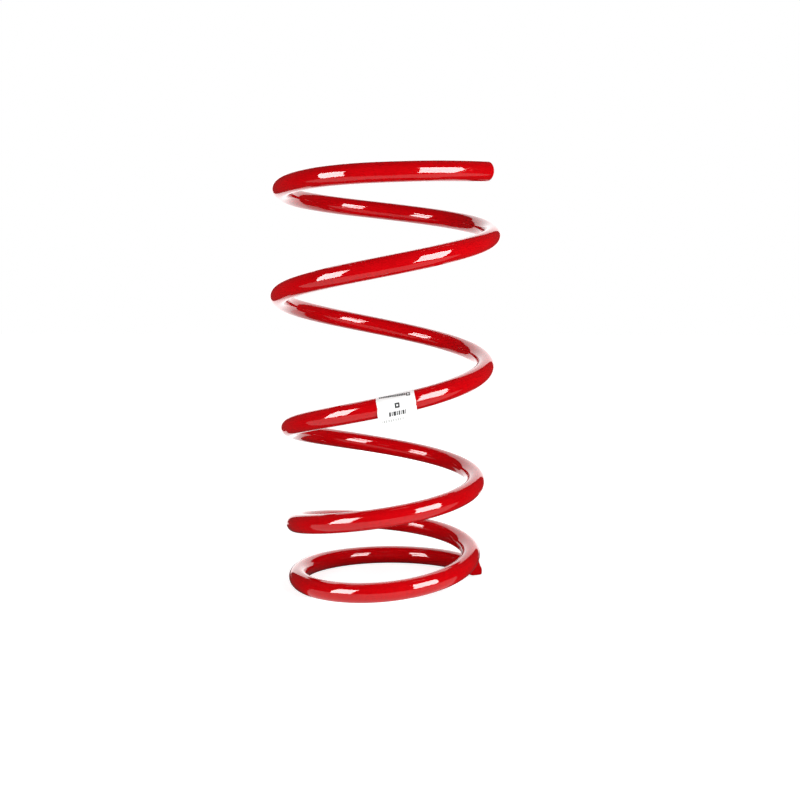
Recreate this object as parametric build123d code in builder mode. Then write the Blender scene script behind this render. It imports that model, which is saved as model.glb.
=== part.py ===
from build123d import *
import math
import os

# Vehicle coil spring, wound right-handed from one length of round wire, and its identification label.
# The wire is one piece on the real spring. Here it is divided where it crosses the plane y = 0,
# at the two sides of the coil, so that every half turn is a link that tips as the spring shortens:
#   lower_end_coil                      closed seat coil, 346 degrees of wire, lies flat
#   second/third/fourth_coil_rear|front six half-turn links
#   upper_end_coil                      open seat coil, 328 degrees of wire, its end runs out straight
#   label                               paper sleeve with a short tail, stuck on the third coil
# Frame: millimetres, +Z up along the coil axis, origin on the axis in the plane the lower coil sits on.
# Plan angles are counted from +X towards +Y and go on counting from turn to turn, upwards.

# driving dimensions
wire_diameter = 13.0
end_rounding = 0.8           # rounding of the cropped wire ends
lower_end_angle = 14.0       # plan angle of the lower wire end
upper_end_angle = 1768.0     # plan angle of the upper wire end, which runs out straight
label_angle = 997.0          # plan angle at the middle of the label
label_width = 25.0           # along the wire
label_thickness = 0.2
label_tail = 6.0             # how far the loose end hangs below the wire
label_fit = 0.02             # clearance between label and wire

# mean coil radius and centreline height, station by station up the wire: (plan angle, radius, height)
stations = [
    (14, 66.60, 8.20),
    (45, 65.10, 7.40),
    (90, 63.23, 6.75),
    (135, 61.81, 6.55),
    (180, 60.88, 6.53),
    (225, 60.37, 6.85),
    (270, 60.20, 9.50),
    (315, 60.31, 15.39),
    (360, 60.62, 22.58),
    (405, 61.07, 28.31),
    (450, 61.58, 32.96),
    (495, 62.08, 38.02),
    (540, 62.51, 43.99),
    (585, 62.86, 50.97),
    (630, 63.15, 58.69),
    (675, 63.44, 66.75),
    (720, 63.78, 74.68),
    (765, 64.21, 82.27),
    (810, 64.77, 90.38),
    (855, 65.45, 99.79),
    (900, 66.22, 109.80),
    (945, 67.07, 119.76),
    (990, 67.97, 130.48),
    (1035, 68.90, 142.61),
    (1080, 69.83, 155.57),
    (1125, 70.72, 168.54),
    (1170, 71.55, 180.66),
    (1215, 72.29, 191.27),
    (1260, 72.91, 200.26),
    (1305, 73.37, 208.44),
    (1350, 73.66, 218.35),
    (1395, 73.78, 231.34),
    (1440, 73.72, 245.95),
    (1485, 73.48, 259.75),
    (1530, 73.05, 269.17),
    (1575, 72.43, 273.06),
    (1620, 71.40, 274.30),
    (1665, 70.30, 275.50),
    (1700, 69.50, 276.60),
    (1720, 69.45, 277.60),
    (1740, 70.75, 279.20),
    (1755, 73.80, 280.50),
    (1768, 79.30, 281.70),
]

wire_radius = wire_diameter / 2
angles = [s[0] for s in stations]


def slope(column, i):
    """Rate of change of a station column per degree, from the parabola through three neighbours."""
    k = min(max(i, 1), len(stations) - 2)
    a0, a1, a2 = angles[k - 1], angles[k], angles[k + 1]
    v0, v1, v2 = (stations[j][column] for j in (k - 1, k, k + 1))
    d01, d12 = (v1 - v0) / (a1 - a0), (v2 - v1) / (a2 - a1)
    bend = (d12 - d01) / (a2 - a0)
    return d01 + bend * (2 * angles[i] - a0 - a1)


def place(angle):
    """Centreline point and unit tangent at a plan angle, by Hermite interpolation between stations."""
    i = max(j for j in range(len(angles) - 1) if angles[j] <= angle)
    span = angles[i + 1] - angles[i]
    t = (angle - angles[i]) / span
    out = []
    for column in (1, 2):
        p0, p1 = stations[i][column], stations[i + 1][column]
        m0, m1 = slope(column, i) * span, slope(column, i + 1) * span
        value = (
            (2 * t**3 - 3 * t**2 + 1) * p0 + (t**3 - 2 * t**2 + t) * m0
            + (3 * t**2 - 2 * t**3) * p1 + (t**3 - t**2) * m1
        )
        rate = (
            (6 * t**2 - 6 * t) * p0 + (3 * t**2 - 4 * t + 1) * m0
            + (6 * t - 6 * t**2) * p1 + (3 * t**2 - 2 * t) * m1
        ) / math.radians(span)
        out += [value, rate]
    radius, d_radius, height, d_height = out
    c, s = math.cos(math.radians(angle)), math.sin(math.radians(angle))
    point = Vector(radius * c, radius * s, height)
    tangent = Vector(d_radius * c - radius * s, d_radius * s + radius * c, d_height).normalized()
    return point, tangent


def arcs(start, end):
    """Pairs of tangent arcs along the centreline from one plan angle to another: (p, tangent, q)."""
    knots = [start] + [a for a in angles if start + 1 < a < end - 1] + [end]
    result = []
    for a, b in zip(knots, knots[1:]):
        (p0, t0), (p1, t1) = place(a), place(b)
        chord = p1 - p0
        both = t0 + t1
        k = 2 * (1 - t0.dot(t1))
        h = chord.dot(both)
        d = (-h + math.sqrt(h * h + k * chord.dot(chord))) / k
        mid = (p0 + p1 + (t0 - t1) * d) * 0.5
        joint_tangent = ((mid - p0) * (1 / d) - t0).normalized()
        result += [(p0, t0, mid), (mid, joint_tangent, p1)]
    return result


def tube_plane(angle):
    """Plane square to the wire at a plan angle, with its x direction as level as possible."""
    point, tangent = place(angle)
    return Plane(origin=point, x_dir=tangent.cross(Vector(0, 0, 1)).normalized(), z_dir=tangent)


run_on = 8.0                 # degrees by which a length is swept past its division plane before it is trimmed
trim = 200.0                 # length of the block that trims the lower end coil
label_half_angle = math.degrees(label_width / 2 / math.hypot(68.2, 15.2))   # the wire climbs 15 mm per radian here

os.makedirs("parts", exist_ok=True)

# ---- lower end coil: closed, lies flat in the lower spring seat ----
with BuildPart() as lower_end_coil:
    with BuildLine() as lower_end_path:
        for p, tangent, q in arcs(lower_end_angle, 360 + run_on):
            TangentArc(p, q, tangent=tangent)
    with BuildSketch(tube_plane(lower_end_angle).rotated((0, 0, 180))):
        Circle(wire_radius)
    sweep(path=lower_end_path.line)
    # the upper end is trimmed in the plane y = 0, without touching the seat coil below it
    side, _ = place(360)
    with Locations((side.X, trim / 2, side.Z + 2)):
        Box(6 * wire_radius, trim, 19, mode=Mode.SUBTRACT)
    cropped = lower_end_coil.faces().filter_by(GeomType.PLANE).sort_by_distance(place(lower_end_angle)[0])[0]
    fillet(cropped.edges(), end_rounding)
lower_end_coil.part.label = "lower_end_coil"
export_step(lower_end_coil.part, "parts/lower_end_coil.step")

# ---- second coil, rear half ----
with BuildPart() as second_coil_rear:
    with BuildLine() as second_coil_rear_path:
        for p, tangent, q in arcs(360 - run_on, 540 + run_on):
            TangentArc(p, q, tangent=tangent)
    with BuildSketch(tube_plane(360 - run_on)):
        Circle(wire_radius)
    sweep(path=second_coil_rear_path.line)
    split(bisect_by=Plane.XZ, keep=Keep.BOTTOM)
second_coil_rear.part.label = "second_coil_rear"
export_step(second_coil_rear.part, "parts/second_coil_rear.step")

# ---- second coil, front half ----
with BuildPart() as second_coil_front:
    with BuildLine() as second_coil_front_path:
        for p, tangent, q in arcs(540 - run_on, 720 + run_on):
            TangentArc(p, q, tangent=tangent)
    with BuildSketch(tube_plane(540 - run_on)):
        Circle(wire_radius)
    sweep(path=second_coil_front_path.line)
    split(bisect_by=Plane.XZ, keep=Keep.TOP)
second_coil_front.part.label = "second_coil_front"
export_step(second_coil_front.part, "parts/second_coil_front.step")

# ---- third coil, rear half ----
with BuildPart() as third_coil_rear:
    with BuildLine() as third_coil_rear_path:
        for p, tangent, q in arcs(720 - run_on, 900 + run_on):
            TangentArc(p, q, tangent=tangent)
    with BuildSketch(tube_plane(720 - run_on)):
        Circle(wire_radius)
    sweep(path=third_coil_rear_path.line)
    split(bisect_by=Plane.XZ, keep=Keep.BOTTOM)
third_coil_rear.part.label = "third_coil_rear"
export_step(third_coil_rear.part, "parts/third_coil_rear.step")

# ---- third coil, front half ----
with BuildPart() as third_coil_front:
    with BuildLine() as third_coil_front_path:
        for p, tangent, q in arcs(900 - run_on, 1080 + run_on):
            TangentArc(p, q, tangent=tangent)
    with BuildSketch(tube_plane(900 - run_on)):
        Circle(wire_radius)
    sweep(path=third_coil_front_path.line)
    split(bisect_by=Plane.XZ, keep=Keep.TOP)
third_coil_front.part.label = "third_coil_front"
export_step(third_coil_front.part, "parts/third_coil_front.step")

# ---- fourth coil, rear half ----
with BuildPart() as fourth_coil_rear:
    with BuildLine() as fourth_coil_rear_path:
        for p, tangent, q in arcs(1080 - run_on, 1260 + run_on):
            TangentArc(p, q, tangent=tangent)
    with BuildSketch(tube_plane(1080 - run_on)):
        Circle(wire_radius)
    sweep(path=fourth_coil_rear_path.line)
    split(bisect_by=Plane.XZ, keep=Keep.BOTTOM)
fourth_coil_rear.part.label = "fourth_coil_rear"
export_step(fourth_coil_rear.part, "parts/fourth_coil_rear.step")

# ---- fourth coil, front half ----
with BuildPart() as fourth_coil_front:
    with BuildLine() as fourth_coil_front_path:
        for p, tangent, q in arcs(1260 - run_on, 1440 + run_on):
            TangentArc(p, q, tangent=tangent)
    with BuildSketch(tube_plane(1260 - run_on)):
        Circle(wire_radius)
    sweep(path=fourth_coil_front_path.line)
    split(bisect_by=Plane.XZ, keep=Keep.TOP)
fourth_coil_front.part.label = "fourth_coil_front"
export_step(fourth_coil_front.part, "parts/fourth_coil_front.step")

# ---- upper end coil: open end, sits in the upper spring seat ----
with BuildPart() as upper_end_coil:
    with BuildLine() as upper_end_path:
        for p, tangent, q in arcs(1440 - run_on, upper_end_angle):
            TangentArc(p, q, tangent=tangent)
    with BuildSketch(tube_plane(1440 - run_on)):
        Circle(wire_radius)
    sweep(path=upper_end_path.line)
    # the lower end is trimmed in the plane y = 0, below the rest of the coil
    side, _ = place(1440)
    with Locations((side.X, -trim / 2, side.Z - 2)):
        Box(6 * wire_radius, trim, 19, mode=Mode.SUBTRACT)
    cropped = upper_end_coil.faces().filter_by(GeomType.PLANE).sort_by_distance(place(upper_end_angle)[0])[0]
    fillet(cropped.edges(), end_rounding)
upper_end_coil.part.label = "upper_end_coil"
export_step(upper_end_coil.part, "parts/upper_end_coil.step")

# ---- identification label: sleeve around the wire with its loose end hanging from the outer side ----
label_start = label_angle - label_half_angle
label_end = label_angle + label_half_angle
with BuildPart() as label:
    with BuildLine() as label_path:
        for p, tangent, q in arcs(label_start, label_end):
            TangentArc(p, q, tangent=tangent)
    with BuildSketch(tube_plane(label_start)):
        Circle(wire_radius + label_fit + label_thickness)
        # local x points away from the coil axis and local y points down
        with Locations((wire_radius + label_fit + label_thickness / 2, (wire_radius + label_tail) / 2)):
            Rectangle(label_thickness, wire_radius + label_tail)
        Circle(wire_radius + label_fit, mode=Mode.SUBTRACT)
    sweep(path=label_path.line)
label.part.label = "label"
export_step(label.part, "parts/label.step")

pieces = [
    lower_end_coil, second_coil_rear, second_coil_front, third_coil_rear, third_coil_front,
    fourth_coil_rear, fourth_coil_front, upper_end_coil, label,
]
for piece in pieces:
    box = piece.part.bounding_box()
    print(piece.part.label, len(piece.part.solids()), "solid", round(piece.part.volume), "mm3", box.min, box.max)
wire = sum(piece.part.volume for piece in pieces[:-1])
print("wire length", round(wire / (math.pi * wire_radius**2)), "mm")
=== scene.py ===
import math

import bpy
import numpy as np
from mathutils import Matrix, Vector


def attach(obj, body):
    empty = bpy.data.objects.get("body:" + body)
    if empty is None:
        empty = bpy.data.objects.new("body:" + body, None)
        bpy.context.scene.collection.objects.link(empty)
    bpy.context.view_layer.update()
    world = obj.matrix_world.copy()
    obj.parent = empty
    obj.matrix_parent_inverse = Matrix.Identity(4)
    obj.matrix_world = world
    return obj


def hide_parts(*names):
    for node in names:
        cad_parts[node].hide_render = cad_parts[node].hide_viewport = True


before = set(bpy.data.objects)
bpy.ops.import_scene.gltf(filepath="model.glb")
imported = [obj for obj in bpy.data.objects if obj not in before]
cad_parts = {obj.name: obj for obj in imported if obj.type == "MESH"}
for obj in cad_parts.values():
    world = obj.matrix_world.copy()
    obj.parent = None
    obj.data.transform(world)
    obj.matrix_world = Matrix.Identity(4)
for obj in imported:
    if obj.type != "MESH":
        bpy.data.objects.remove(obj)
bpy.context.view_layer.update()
scene = bpy.context.scene

MM = 0.001
WIRE_R = 6.5            # mm, radius over the coating
END_ROUND = 1.0         # mm, rounding of the cropped and coated wire ends
SEGMENTS = 72           # points round the wire
RING_STEP = 1.0         # degrees of plan angle between rings
LOWER_END, UPPER_END = 14.0, 1768.0
LABEL_ANGLE, LABEL_HALF = 997.0, 12.5

# coil radius and centreline height up the wire, mm: the same stations as the CAD
STATIONS = [
    (14, 66.60, 8.20), (45, 65.10, 7.40), (90, 63.23, 6.75), (135, 61.81, 6.55),
    (180, 60.88, 6.53), (225, 60.37, 6.85), (270, 60.20, 9.50), (315, 60.31, 15.39),
    (360, 60.62, 22.58), (405, 61.07, 28.31), (450, 61.58, 32.96), (495, 62.08, 38.02),
    (540, 62.51, 43.99), (585, 62.86, 50.97), (630, 63.15, 58.69), (675, 63.44, 66.75),
    (720, 63.78, 74.68), (765, 64.21, 82.27), (810, 64.77, 90.38), (855, 65.45, 99.79),
    (900, 66.22, 109.80), (945, 67.07, 119.76), (990, 67.97, 130.48), (1035, 68.90, 142.61),
    (1080, 69.83, 155.57), (1125, 70.72, 168.54), (1170, 71.55, 180.66), (1215, 72.29, 191.27),
    (1260, 72.91, 200.26), (1305, 73.37, 208.44), (1350, 73.66, 218.35), (1395, 73.78, 231.34),
    (1440, 73.72, 245.95), (1485, 73.48, 259.75), (1530, 73.05, 269.17), (1575, 72.43, 273.06),
    (1620, 71.40, 274.30), (1665, 70.30, 275.50), (1700, 69.50, 276.60), (1720, 69.45, 277.60),
    (1740, 70.75, 279.20), (1755, 73.80, 280.50), (1768, 79.30, 281.70),
]
S = np.array(STATIONS, float)


# ---------------------------------------------------------------- the wire's centreline
def second_derivatives(x, y):
    """Of the natural cubic spline through the stations, so that highlights run on without a kink."""
    n = len(x)
    a, b = np.zeros((n, n)), np.zeros(n)
    a[0, 0] = a[-1, -1] = 1.0
    for i in range(1, n - 1):
        h0, h1 = x[i] - x[i - 1], x[i + 1] - x[i]
        a[i, i - 1], a[i, i], a[i, i + 1] = h0, 2 * (h0 + h1), h1
        b[i] = 6 * ((y[i + 1] - y[i]) / h1 - (y[i] - y[i - 1]) / h0)
    return np.linalg.solve(a, b)


M_R = second_derivatives(S[:, 0], S[:, 1])
M_Z = second_derivatives(S[:, 0], S[:, 2])


def column(angle, y, m):
    x = S[:, 0]
    i = np.clip(np.searchsorted(x, angle, side="right") - 1, 0, len(x) - 2)
    h = x[i + 1] - x[i]
    t1, t0 = angle - x[i], x[i + 1] - angle
    value = (
        m[i] * t0**3 / (6 * h) + m[i + 1] * t1**3 / (6 * h)
        + (y[i] / h - m[i] * h / 6) * t0 + (y[i + 1] / h - m[i + 1] * h / 6) * t1
    )
    rate = (
        -m[i] * t0**2 / (2 * h) + m[i + 1] * t1**2 / (2 * h)
        - (y[i] / h - m[i] * h / 6) + (y[i + 1] / h - m[i + 1] * h / 6)
    )
    return value, rate


def wire_frame(angle):
    """Centre, tangent, outward and downward directions of the wire at plan angles (degrees), arrays of n by 3, mm."""
    angle = np.atleast_1d(np.asarray(angle, float))
    r, dr = column(angle, S[:, 1], M_R)
    z, dz = column(angle, S[:, 2], M_Z)
    dr, dz = dr * 180 / math.pi, dz * 180 / math.pi
    c, s = np.cos(np.radians(angle)), np.sin(np.radians(angle))
    centre = np.stack([r * c, r * s, z], 1)
    tangent = np.stack([dr * c - r * s, dr * s + r * c, dz], 1)
    tangent /= np.linalg.norm(tangent, axis=1)[:, None]
    out = np.cross(tangent, [0.0, 0.0, 1.0])
    out /= np.linalg.norm(out, axis=1)[:, None]
    down = np.cross(tangent, out)
    return centre, tangent, out, down


def mesh_object(name, verts, faces, normals, material, smooth=True):
    """A closed mesh in metres. normals: None, or a dict with one normal per vertex and the face's own normals for flat
    caps.
    """
    me = bpy.data.meshes.new(name)
    me.from_pydata([tuple(v) for v in np.asarray(verts) * MM], [], faces)
    me.update()
    me.polygons.foreach_set("use_smooth", [smooth] * len(me.polygons))
    if normals is not None:
        loops = np.zeros(len(me.loops), np.int64)
        me.loops.foreach_get("vertex_index", loops)
        per_loop = np.asarray(normals["vertex"])[loops].copy()
        start = np.zeros(len(me.polygons), np.int64)
        total = np.zeros(len(me.polygons), np.int64)
        me.polygons.foreach_get("loop_start", start)
        me.polygons.foreach_get("loop_total", total)
        for first, last, n in normals.get("flat", []):
            for f in range(first, last):
                per_loop[start[f]:start[f] + total[f]] = n
        me.normals_split_custom_set([tuple(n) for n in per_loop])
    obj = bpy.data.objects.new(name, me)
    scene.collection.objects.link(obj)
    me.materials.append(material)
    return obj


PHI = np.arange(SEGMENTS) * 2 * math.pi / SEGMENTS


def at(angles):
    """Points and normals on the wire's surface: one plan angle per point round the wire."""
    centre, _, out, down = wire_frame(angles)
    normal = np.cos(PHI)[:, None] * out + np.sin(PHI)[:, None] * down
    return centre + WIRE_R * normal, normal


def cut_angles(joint, into):
    """Plan angle at which each line along the wire stops, a hair on its own side of the dividing plane y = 0."""
    short = 0.0015 * (1.0 if math.sin(math.radians(joint + 90.0 * into)) > 0 else -1.0)
    a = np.full(SEGMENTS, float(joint))
    sign = 1.0 if math.cos(math.radians(joint)) > 0 else -1.0
    for _ in range(6):
        p, _ = at(a)
        a -= np.degrees(sign * (p[:, 1] - short) / np.hypot(p[:, 0], 1e-9))
    return a


# the lower end was squashed a little by the crop: square at its lower outer corner, flatter above it
SQUASH_AT = np.array([-180, -90, -60, -30, -12, 0, 12, 20, 30, 40, 45, 50, 60, 70, 80, 90, 180.0])
SQUASH = np.array([1, 1, 0.93, 0.76, 0.75, 0.80, 0.93, 1.01, 1.10, 1.23, 1.29, 1.25, 1.13, 1.05, 1.005, 1, 1])
SQUASH_REACH = 7.0          # mm back from the end


def squashed(weight, out, down):
    """Outline of the squashed end: radius factor and outline normal for each point round the wire."""
    turn = np.degrees((PHI + math.pi) % (2 * math.pi) - math.pi)
    f = 1 + weight * (np.interp(turn, SQUASH_AT, SQUASH) - 1)
    x, y = f * np.cos(PHI), f * np.sin(PHI)
    nx, ny = np.roll(y, -1) - np.roll(y, 1), np.roll(x, 1) - np.roll(x, -1)
    size = np.hypot(nx, ny)
    return f, (nx / size)[:, None] * out + (ny / size)[:, None] * down


def wire_piece(name, start, end, material):
    """One length of wire between two plan angles: each end is either a cropped end or a cut in the plane y = 0."""
    steps = max(2, int(round((end - start) / RING_STEP)))
    rings = []
    first_cut = cut_angles(start, 1) if start != LOWER_END else None
    last_cut = cut_angles(end, -1) if end != UPPER_END else None
    ends_mm = END_ROUND
    lead = math.degrees(ends_mm / 66.0)      # room for the rounding, degrees
    a0 = start + (lead if first_cut is None else 0)
    a1 = end - (lead * 66.0 / 79.0 if last_cut is None else 0)
    for k in range(steps + 1):
        base = a0 + (a1 - a0) * k / steps
        angles = np.full(SEGMENTS, base)
        for cut, joint in ((first_cut, start), (last_cut, end)):
            if cut is not None:
                w = max(0.0, 1 - abs(base - joint) / 8.0)
                w = w * w * (3 - 2 * w)
                angles = angles + w * (cut - joint)
        back = (base - start) * math.pi / 180 * 66.6
        if first_cut is None and back < SQUASH_REACH:
            centre, _, out, down = wire_frame(angles)
            w = 1 - back / SQUASH_REACH
            f, n = squashed(w * w * (3 - 2 * w), out, down)
            spoke = np.cos(PHI)[:, None] * out + np.sin(PHI)[:, None] * down
            rings.append((centre + WIRE_R * f[:, None] * spoke, n))
        else:
            rings.append(at(angles))
    verts, normals, faces = [], [], []

    def add_ring(p, n):
        verts.extend(p)
        normals.extend(n)

    def crop(angle, sign):
        """Rings of a rounded, slightly uneven cropped end, from the side inwards."""
        centre, tangent, out, down = (v[0] for v in wire_frame([angle]))
        tangent = tangent * sign
        found = []
        for beta in np.radians([12, 24, 36, 48, 60, 72, 82, 90]):
            rad = WIRE_R - END_ROUND + END_ROUND * math.cos(beta)
            ahead = -END_ROUND + END_ROUND * math.sin(beta)
            found.append((rad, ahead, math.cos(beta), math.sin(beta)))
        for share in (0.94, 0.85, 0.72, 0.56, 0.38, 0.2):
            found.append(((WIRE_R - END_ROUND) * share, 0.0, 0.0, 1.0))
        result = []
        for rad, ahead, side, face in found:
            d = np.cos(PHI)[:, None] * out + np.sin(PHI)[:, None] * down
            f, outline = squashed(1.0 if sign < 0 else 0.0, out, down)
            # the shear leaves the face a little lower on the side it was cut through last
            dip = -0.16 * (rad / WIRE_R) * np.maximum(0, np.cos(PHI - 1.1)) ** 2 * (1 if ahead > -END_ROUND * 0.9 else 0.3)
            p = centre + rad * f[:, None] * d + (ahead + dip)[:, None] * tangent
            result.append((p, side * outline + face * tangent))
        return result, centre + np.array(0.0) * tangent, tangent

    if first_cut is None:
        caps, tip, direction = crop(start, -1.0)
        for p, n in reversed(caps):
            add_ring(p, n)
    for p, n in rings:
        add_ring(p, n)
    if last_cut is None:
        caps2, tip2, direction2 = crop(end, 1.0)
        for p, n in caps2:
            add_ring(p, n)
    total = len(verts) // SEGMENTS
    for r in range(total - 1):
        for k in range(SEGMENTS):
            j = (k + 1) % SEGMENTS
            a, b = r * SEGMENTS, (r + 1) * SEGMENTS
            faces.append((a + k, a + j, b + j, b + k))
    flat = []
    # the two caps, as fans round a middle point
    lo = np.mean(verts[:SEGMENTS], axis=0)
    hi = np.mean(verts[-SEGMENTS:], axis=0)
    side_sign = 1.0 if math.cos(math.radians(start)) > 0 else -1.0
    n_lo = direction if first_cut is None else np.array([0.0, -side_sign, 0.0])
    side_sign = 1.0 if math.cos(math.radians(end)) > 0 else -1.0
    n_hi = direction2 if last_cut is None else np.array([0.0, side_sign, 0.0])
    i_lo = len(verts)
    verts.extend([lo, hi])
    normals.extend([n_lo, n_hi])
    f0 = len(faces)
    for k in range(SEGMENTS):
        faces.append((i_lo, (k + 1) % SEGMENTS, k))
    flat.append((f0, len(faces), n_lo))
    f0 = len(faces)
    base = (total - 1) * SEGMENTS
    for k in range(SEGMENTS):
        faces.append((i_lo + 1, base + k, base + (k + 1) % SEGMENTS))
    flat.append((f0, len(faces), n_hi))
    return mesh_object(name, verts, faces, {"vertex": np.array(normals), "flat": flat}, material)


# ---------------------------------------------------------------- materials
def nodes_of(mat):
    mat.use_nodes = True
    tree = mat.node_tree
    tree.nodes.clear()
    return tree, tree.nodes, tree.links


def coating_material():
    """Gloss powder coat: saturated red, faint orange peel, slight shade drift, dust-fine specks."""
    mat = bpy.data.materials.new("gloss_powder_coat_red")
    tree, nodes, links = nodes_of(mat)
    out = nodes.new("ShaderNodeOutputMaterial")
    bsdf = nodes.new("ShaderNodeBsdfPrincipled")
    links.new(bsdf.outputs["BSDF"], out.inputs["Surface"])
    coords = nodes.new("ShaderNodeTexCoord")

    def noise(scale, detail=2.0, rough=0.5):
        n = nodes.new("ShaderNodeTexNoise")
        n.inputs["Scale"].default_value = scale
        n.inputs["Detail"].default_value = detail
        n.inputs["Roughness"].default_value = rough
        links.new(coords.outputs["Object"], n.inputs["Vector"])
        return n

    def ramp(source, lo, hi, c0, c1):
        r = nodes.new("ShaderNodeValToRGB")
        r.color_ramp.elements[0].position, r.color_ramp.elements[1].position = lo, hi
        r.color_ramp.elements[0].color, r.color_ramp.elements[1].color = c0, c1
        links.new(source, r.inputs["Fac"])
        return r

    drift = noise(14.0, 3.0, 0.55)
    tone = ramp(drift.outputs["Fac"], 0.3, 0.7, (0.60, 0.0006, 0.0028, 1), (0.70, 0.0014, 0.0046, 1))
    mottle = noise(420.0, 3.0, 0.6)
    speck = ramp(mottle.outputs["Fac"], 0.44, 0.74, (1, 1, 1, 1), (0.86, 0.84, 0.84, 1))
    mix = nodes.new("ShaderNodeMix")
    mix.data_type, mix.blend_type = "RGBA", "MULTIPLY"
    mix.inputs["Factor"].default_value = 1.0
    links.new(tone.outputs["Color"], mix.inputs["A"])
    links.new(speck.outputs["Color"], mix.inputs["B"])
    links.new(mix.outputs["Result"], bsdf.inputs["Base Color"])

    rough = ramp(noise(160.0, 3.0, 0.6).outputs["Fac"], 0.35, 0.7, (0.20, 0.20, 0.20, 1), (0.30, 0.30, 0.30, 1))
    links.new(rough.outputs["Color"], bsdf.inputs["Roughness"])
    bsdf.inputs["Specular IOR Level"].default_value = 0.0
    bsdf.inputs["Coat Weight"].default_value = 1.0
    bsdf.inputs["Coat IOR"].default_value = 1.5

    peel = noise(520.0, 1.5, 0.45)
    bump = nodes.new("ShaderNodeBump")
    bump.inputs["Strength"].default_value = 0.2
    bump.inputs["Distance"].default_value = 0.00006
    links.new(peel.outputs["Fac"], bump.inputs["Height"])
    links.new(bump.outputs["Normal"], bsdf.inputs["Normal"])
    # the gloss itself: smooth, with slightly hazier patches
    haze = ramp(noise(60.0, 3.0, 0.55).outputs["Fac"], 0.35, 0.7, (0.040, 0.040, 0.040, 1), (0.075, 0.075, 0.075, 1))
    links.new(haze.outputs["Color"], bsdf.inputs["Coat Roughness"])
    return mat


def label_material():
    """White coated paper with generic black print: dashes, a square mark and a row of bars, no lettering; the paper
    also glows a little as painted light.
    """
    mat = bpy.data.materials.new("label_paper_printed")
    tree, nodes, links = nodes_of(mat)
    out = nodes.new("ShaderNodeOutputMaterial")
    bsdf = nodes.new("ShaderNodeBsdfPrincipled")
    links.new(bsdf.outputs["BSDF"], out.inputs["Surface"])
    uv = nodes.new("ShaderNodeUVMap")
    uv.uv_map = "paper_mm"
    split = nodes.new("ShaderNodeSeparateXYZ")
    links.new(uv.outputs["UV"], split.inputs["Vector"])
    u, w = split.outputs["X"], split.outputs["Y"]      # hundredths of a metre along the wire, and round it

    def math_node(op, a, b=None):
        n = nodes.new("ShaderNodeMath")
        n.operation = op
        for i, v in enumerate((a, b)):
            if v is None:
                continue
            if isinstance(v, (int, float)):
                n.inputs[i].default_value = v
            else:
                links.new(v, n.inputs[i])
        return n.outputs["Value"]

    def band(x, lo, hi):
        return math_node("MULTIPLY", math_node("GREATER_THAN", x, lo), math_node("LESS_THAN", x, hi))

    def rect(u0, u1, w0, w1):
        return math_node("MULTIPLY", band(u, u0, u1), band(w, w0, w1))

    marks = []
    # fine dashes along the top edge
    dash = math_node("LESS_THAN", math_node("FRACT", math_node("MULTIPLY", u, 1 / 0.115)), 0.80)
    w_full = w
    w = math_node("SUBTRACT", w_full, math_node("MULTIPLY", u, 0.10))
    marks.append(math_node("MULTIPLY", math_node("MULTIPLY", band(u, -1.02, 0.68), band(w, -0.82, -0.59)), dash))
    marks.append(math_node("SUBTRACT", math_node("MULTIPLY", band(u, 0.70, 0.96), band(w, -0.82, -0.54)), math_node("MULTIPLY", band(u, 0.77, 0.89), band(w, -0.74, -0.62))))
    w = w_full
    # a small square mark in the middle
    marks.append(math_node("SUBTRACT", rect(-0.12, 0.19, -0.15, 0.18), rect(-0.02, 0.09, -0.04, 0.07)))
    # a row of bars
    for u0, u1 in ((-0.52, -0.40), (-0.35, -0.29), (-0.24, -0.07), (-0.02, 0.04), (0.09, 0.19), (0.24, 0.29), (0.34, 0.47), (0.52, 0.57)):
        marks.append(rect(u0, u1, 0.37, 0.64))
    black = marks[0]
    for m in marks[1:]:
        black = math_node("MAXIMUM", black, m)
    pale_dash = math_node("LESS_THAN", math_node("FRACT", math_node("MULTIPLY", u, 1 / 0.15)), 0.62)
    pale = math_node("MULTIPLY", math_node("MULTIPLY", rect(-1.00, 0.48, 0.82, 0.98), pale_dash), 0.42)
    ink = math_node("MAXIMUM", black, pale)

    coords = nodes.new("ShaderNodeTexCoord")
    fibre = nodes.new("ShaderNodeTexNoise")
    fibre.inputs["Scale"].default_value = 900.0
    fibre.inputs["Detail"].default_value = 4.0
    links.new(coords.outputs["Object"], fibre.inputs["Vector"])
    shade = nodes.new("ShaderNodeValToRGB")
    shade.color_ramp.elements[0].position, shade.color_ramp.elements[1].position = 0.35, 0.7
    shade.color_ramp.elements[0].color = (0.83, 0.83, 0.82, 1)
    shade.color_ramp.elements[1].color = (0.93, 0.93, 0.925, 1)
    links.new(fibre.outputs["Fac"], shade.inputs["Fac"])
    mix = nodes.new("ShaderNodeMix")
    mix.data_type = "RGBA"
    links.new(ink, mix.inputs["Factor"])
    links.new(shade.outputs["Color"], mix.inputs["A"])
    mix.inputs["B"].default_value = (0.018, 0.018, 0.02, 1)
    links.new(mix.outputs["Result"], bsdf.inputs["Base Color"])
    # painted light: the paper and its print glow a little (emission), so the label looks brighter than the lamps make
    # it
    links.new(mix.outputs["Result"], bsdf.inputs["Emission Color"])
    bsdf.inputs["Emission Strength"].default_value = 0.20
    bsdf.inputs["Roughness"].default_value = 0.42
    bump = nodes.new("ShaderNodeBump")
    bump.inputs["Strength"].default_value = 0.15
    bump.inputs["Distance"].default_value = 0.00002
    links.new(fibre.outputs["Fac"], bump.inputs["Height"])
    links.new(bump.outputs["Normal"], bsdf.inputs["Normal"])
    return mat


red = coating_material()
paper = label_material()

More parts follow.
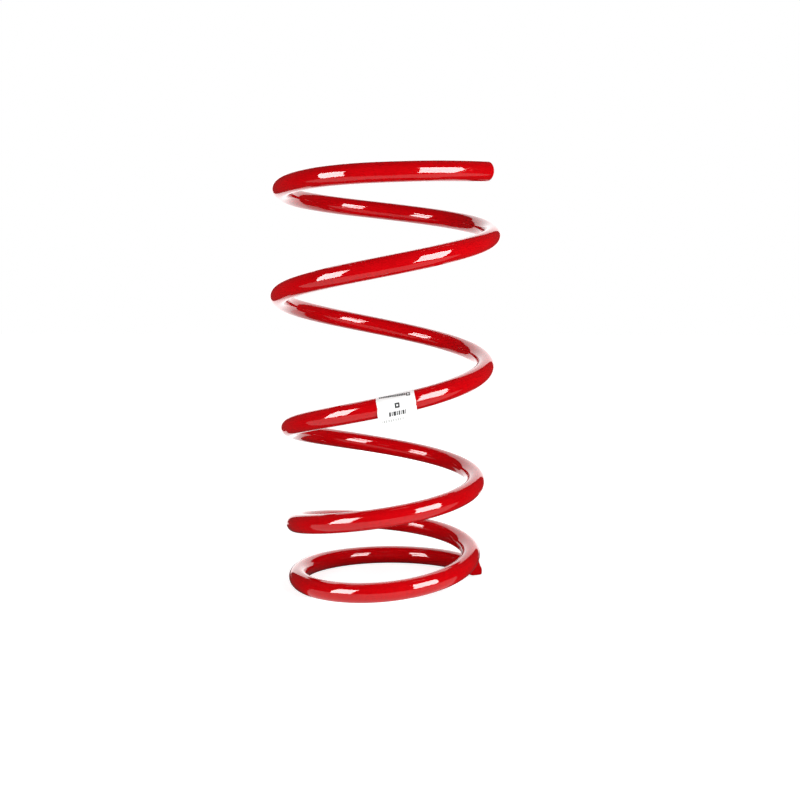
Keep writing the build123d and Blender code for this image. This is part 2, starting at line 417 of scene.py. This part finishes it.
# ---------------------------------------------------------------- the wire, one piece per CAD length
LENGTHS = [
    ("wire_lower_end_coil", "lower_end_coil", "lower_end", LOWER_END, 360.0),
    ("wire_second_coil_rear", "second_coil_rear", "second_rear", 360.0, 540.0),
    ("wire_second_coil_front", "second_coil_front", "second_front", 540.0, 720.0),
    ("wire_third_coil_rear", "third_coil_rear", "third_rear", 720.0, 900.0),
    ("wire_third_coil_front", "third_coil_front", "third_front", 900.0, 1080.0),
    ("wire_fourth_coil_rear", "fourth_coil_rear", "fourth_rear", 1080.0, 1260.0),
    ("wire_fourth_coil_front", "fourth_coil_front", "fourth_front", 1260.0, 1440.0),
    ("wire_upper_end_coil", "upper_end_coil", "upper_end", 1440.0, UPPER_END),
]
for name, node, body, start, end in LENGTHS:
    piece = wire_piece(name, start, end, red)
    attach(piece, body)
    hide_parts(node)


# ---------------------------------------------------------------- the label
def label_piece():
    """A paper strip glued once round the wire; its last 12 mm hang loose from the outer side and curl a little."""
    thick = 0.15
    r_mid = WIRE_R + 0.03 + thick / 2
    path = []                                   # (angle round the wire or None, hanging length, arc length)
    a = 25.0
    while a <= 360.0 + 1e-6:
        path.append((math.radians(a), 0.0))
        a += 5.0
    tail = 12.3
    n_tail = 16
    for i in range(1, n_tail + 1):
        path.append((2 * math.pi, tail * i / n_tail))
    columns = 41
    per_mm = math.degrees(1 / math.hypot(68.2, 15.2))
    verts, uvs, faces = [], [], []
    n = len(path)
    rng = np.random.default_rng(7)
    wave = rng.uniform(-1, 1, 6)
    for c in range(columns):
        share = c / (columns - 1)
        s = (2 * share - 1) * LABEL_HALF
        upright = np.array([0.0, 0.0, -1.0])
        for side in (1, -1):                    # outer face first, then inner face
            for phi, hang in path:
                # paper does not stretch on the outside of the bend, and it went on a little askew
                w = (phi - 2 * math.pi) * r_mid + hang
                along = s / (1 + max(0.0, math.cos(phi)) * r_mid / 68.2) - 0.45 + 0.07 * min(10.0, max(0.0, -w)) * min(1.0, max(0.0, (32 + w) / 14))
                centre, tangent, out, down = (v[0] for v in wire_frame([LABEL_ANGLE + along * per_mm]))
                # the cut edges wander by a few hundredths of a millimetre
                edge = (abs(2 * share - 1) ** 12) * 0.10 * math.sin(5.1 * phi + wave[0] * 3 + hang)
                r = r_mid + side * thick / 2
                d = math.cos(phi) * out + math.sin(phi) * down
                p = centre + r * d
                if hang > 0:
                    t = hang / tail
                    curl = (0.55 + 0.35 * share) * t**2.2 + 0.10 * math.sin(2.6 * share * math.pi + 0.5) * t
                    slant = 2.2 * curl / tail * side * thick / 2 / (0.55 + 0.35)
                    p = centre + (r_mid + side * thick / 2 + curl) * out + (hang - slant) * (0.35 * down + 0.65 * upright) / np.linalg.norm(0.35 * down + 0.65 * upright)
                p = p + edge * tangent
                verts.append(p)
                uvs.append((s / 10, w / 10))
    ring = 2 * n

    def index(c, side, i):
        return c * ring + (0 if side == 1 else n) + i

    for c in range(columns - 1):
        for i in range(n - 1):
            faces.append((index(c, 1, i), index(c + 1, 1, i), index(c + 1, 1, i + 1), index(c, 1, i + 1)))
            faces.append((index(c, -1, i), index(c, -1, i + 1), index(c + 1, -1, i + 1), index(c + 1, -1, i)))
        faces.append((index(c, 1, 0), index(c, -1, 0), index(c + 1, -1, 0), index(c + 1, 1, 0)))
        faces.append((index(c, 1, n - 1), index(c + 1, 1, n - 1), index(c + 1, -1, n - 1), index(c, -1, n - 1)))
    for c, flip in ((0, False), (columns - 1, True)):
        for i in range(n - 1):
            quad = (index(c, 1, i), index(c, 1, i + 1), index(c, -1, i + 1), index(c, -1, i))
            faces.append(quad[::-1] if flip else quad)
    obj = mesh_object("paper_label", verts, faces, None, paper)
    me = obj.data
    layer = me.uv_layers.new(name="paper_mm")
    for loop in me.loops:
        layer.data[loop.index].uv = uvs[loop.vertex_index]
    # crisp paper edges, soft wrap
    bpy.context.view_layer.objects.active = obj
    me.set_sharp_from_angle(angle=math.radians(40))
    return obj


label = label_piece()
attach(label, "third_front")
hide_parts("label")


# ---------------------------------------------------------------- floor, light, camera
def emitter_material(name, strength, colour=(1, 1, 1, 1)):
    mat = bpy.data.materials.new(name)
    tree, nodes, links = nodes_of(mat)
    out = nodes.new("ShaderNodeOutputMaterial")
    em = nodes.new("ShaderNodeEmission")
    em.inputs["Strength"].default_value = strength
    em.inputs["Color"].default_value = colour
    links.new(em.outputs["Emission"], out.inputs["Surface"])
    return mat


def plane(name, corners, material):
    me = bpy.data.meshes.new(name)
    me.from_pydata(corners, [], [(0, 1, 2, 3)])
    me.update()
    obj = bpy.data.objects.new(name, me)
    scene.collection.objects.link(obj)
    me.materials.append(material)
    return obj


# pale floor; painted light: it glows, at 0.80 within 0.15 m of the middle and rising smoothly to 0.99 by 0.6 m out, so
# it is dimmer round the spring
pale = bpy.data.materials.new("floor_pale")
tree, nodes, links = nodes_of(pale)
f_out = nodes.new("ShaderNodeOutputMaterial")
f_add = nodes.new("ShaderNodeAddShader")
f_dif = nodes.new("ShaderNodeBsdfDiffuse")
f_dif.inputs["Color"].default_value = (0.62, 0.62, 0.62, 1)
f_em = nodes.new("ShaderNodeEmission")
f_em.inputs["Color"].default_value = (1, 1, 1, 1)
f_pos = nodes.new("ShaderNodeTexCoord")
f_len = nodes.new("ShaderNodeVectorMath")
f_len.operation = "LENGTH"
links.new(f_pos.outputs["Object"], f_len.inputs[0])
# painted light: the floor's glow grows with distance from the middle
f_far = nodes.new("ShaderNodeMapRange")
f_far.interpolation_type = "SMOOTHSTEP"
f_far.inputs["From Min"].default_value, f_far.inputs["From Max"].default_value = 0.15, 0.60
f_far.inputs["To Min"].default_value, f_far.inputs["To Max"].default_value = 0.80, 0.99
links.new(f_len.outputs["Value"], f_far.inputs["Value"])
links.new(f_far.outputs["Result"], f_em.inputs["Strength"])
links.new(f_dif.outputs["BSDF"], f_add.inputs[0])
links.new(f_em.outputs["Emission"], f_add.inputs[1])
links.new(f_add.outputs["Shader"], f_out.inputs["Surface"])
floor = plane("floor", [(-30, -30, 0), (30, -30, 0), (30, 30, 0), (-30, 30, 0)], pale)
floor.visible_glossy = False
floor.visible_diffuse = False

# what the gloss sees of the table: a white top that ends 0.33 m out
table = plane("table_top", [(-0.55, -0.33, 0.0004), (0.62, -0.33, 0.0004), (0.62, -0.04, 0.0004), (-0.55, -0.04, 0.0004)],
              emitter_material("table_white", 0.85))
for attr in ("visible_camera", "visible_shadow", "visible_transmission"):
    setattr(table, attr, False)


# what the gloss sees behind: the white backdrop, 0.45 m wide and 0.31 m away
backdrop = plane("backdrop", [(-0.225, 0.313, 0.0), (0.225, 0.313, 0.0), (0.225, 0.313, 0.58), (-0.225, 0.313, 0.58)],
                 emitter_material("backdrop_white", 2.1))
foot = plane("backdrop_foot", [(-0.20, 0.17, 0.0003), (0.20, 0.17, 0.0003), (0.225, 0.313, 0.0003), (-0.225, 0.313, 0.0003)],
             emitter_material("backdrop_foot_white", 1.5))
for card in (backdrop, foot):
    for attr in ("visible_camera", "visible_diffuse", "visible_shadow", "visible_transmission"):
        setattr(card, attr, False)


def softbox(name, azimuth, distance, height, width, tall, glow, watts):
    """A softbox: a card that only gloss sees, and an area light of the same size that only the colour under it gets."""
    a = math.radians(azimuth)
    centre = Vector((math.sin(a) * distance, -math.cos(a) * distance, height))
    to = (Vector((0, 0, height * 0.6 + 0.05)) - centre).normalized()
    right = to.cross(Vector((0, 0, 1))).normalized()
    up = right.cross(to).normalized()
    corners = [centre + right * x * width / 2 + up * y * tall / 2 for x, y in ((-1, -1), (1, -1), (1, 1), (-1, 1))]
    card = plane(name + "_card", [tuple(c) for c in corners], emitter_material(name + "_glow", glow))
    for attr in ("visible_camera", "visible_diffuse", "visible_shadow", "visible_transmission"):
        setattr(card, attr, False)
    data = bpy.data.lights.new(name, "AREA")
    data.shape, data.size, data.size_y, data.energy = "RECTANGLE", width, tall, watts
    light = bpy.data.objects.new(name, data)
    scene.collection.objects.link(light)
    light.location = centre
    light.rotation_mode = "QUATERNION"
    light.rotation_quaternion = to.to_track_quat("-Z", "Y")
    light.visible_glossy = False
    light.visible_camera = False
    return light


softbox("softbox_right", 45.2, 0.58, 0.285, 0.31, 0.50, 19.0, 2.9)
softbox("softbox_left", -49.2, 0.553, 0.238, 0.255, 0.43, 19.0, 1.6)

# weak fill on the far side, seen by the colour only
fill_data = bpy.data.lights.new("rear_fill", "AREA")
fill_data.shape, fill_data.size, fill_data.size_y, fill_data.energy = "RECTANGLE", 0.6, 0.4, 2.2
fill = bpy.data.objects.new("rear_fill", fill_data)
scene.collection.objects.link(fill)
fill.location = Vector((0.12, 0.75, 0.20))
fill.rotation_mode = "QUATERNION"
fill.rotation_quaternion = (Vector((0, 0, 0.14)) - fill.location).to_track_quat("-Z", "Y")
fill.visible_glossy = False
fill.visible_camera = False

# surroundings: white to the camera, a dark room to the gloss
world = bpy.data.worlds.new("studio")
scene.world = world
world.use_nodes = True
nodes, links = world.node_tree.nodes, world.node_tree.links
nodes.clear()
w_out = nodes.new("ShaderNodeOutputWorld")
coords = nodes.new("ShaderNodeTexCoord")
xyz = nodes.new("ShaderNodeSeparateXYZ")
links.new(coords.outputs["Generated"], xyz.inputs["Vector"])


def w_math(op, a, b=None, c=None):
    n = nodes.new("ShaderNodeMath")
    n.operation = op
    for i, v in enumerate((a, b, c)):
        if v is None:
            continue
        if isinstance(v, (int, float)):
            n.inputs[i].default_value = v
        else:
            links.new(v, n.inputs[i])
    return n.outputs["Value"]


def w_step(x, lo, hi):
    n = nodes.new("ShaderNodeMapRange")
    n.interpolation_type = "SMOOTHSTEP"
    n.inputs["From Min"].default_value = lo
    n.inputs["From Max"].default_value = hi
    links.new(x, n.inputs["Value"])
    return n.outputs["Result"]


horizontal = w_math("SQRT", w_math("ADD", w_math("MULTIPLY", xyz.outputs["X"], xyz.outputs["X"]), w_math("MULTIPLY", xyz.outputs["Y"], xyz.outputs["Y"])))
behind = w_math("DIVIDE", xyz.outputs["Y"], w_math("MAXIMUM", horizontal, 0.001))
gloss_level = w_math("ADD", 0.02, w_math("MULTIPLY", w_step(behind, -0.2, 0.6), 0.03))
path = nodes.new("ShaderNodeLightPath")
bg_gloss = nodes.new("ShaderNodeBackground")
links.new(gloss_level, bg_gloss.inputs["Strength"])
bg_ambient = nodes.new("ShaderNodeBackground")
bg_ambient.inputs["Strength"].default_value = 0.10
bg_camera = nodes.new("ShaderNodeBackground")
bg_camera.inputs["Strength"].default_value = 1.0
for b in (bg_gloss, bg_ambient, bg_camera):
    b.inputs["Color"].default_value = (1, 1, 1, 1)
mix1 = nodes.new("ShaderNodeMixShader")
links.new(path.outputs["Is Glossy Ray"], mix1.inputs["Fac"])
links.new(bg_ambient.outputs["Background"], mix1.inputs[1])
links.new(bg_gloss.outputs["Background"], mix1.inputs[2])
mix2 = nodes.new("ShaderNodeMixShader")
links.new(path.outputs["Is Camera Ray"], mix2.inputs["Fac"])
links.new(mix1.outputs["Shader"], mix2.inputs[1])
links.new(bg_camera.outputs["Background"], mix2.inputs[2])
links.new(mix2.outputs["Shader"], w_out.inputs["Surface"])

scene.view_settings.view_transform = "Standard"
scene.view_settings.look = "None"

# near front view, four degrees down
cam_data = bpy.data.cameras.new("camera")
cam = bpy.data.objects.new("camera", cam_data)
scene.collection.objects.link(cam)
cam_data.sensor_width = 36.0
cam_data.lens = 45.847
cam_data.clip_start, cam_data.clip_end = 0.01, 100.0
tilt, roll = 0.0693437, -0.00176295
right = Vector((1, 0, 0))
up = Vector((0, math.sin(tilt), math.cos(tilt)))
back = Vector((0, -math.cos(tilt), math.sin(tilt)))
right, up = right * math.cos(roll) - up * math.sin(roll), up * math.cos(roll) + right * math.sin(roll)
rot = Matrix((right, up, back)).transposed().to_4x4()
cam.matrix_world = Matrix.Translation(Vector((0.01064, -0.71093, 0.1796))) @ rot
scene.camera = cam
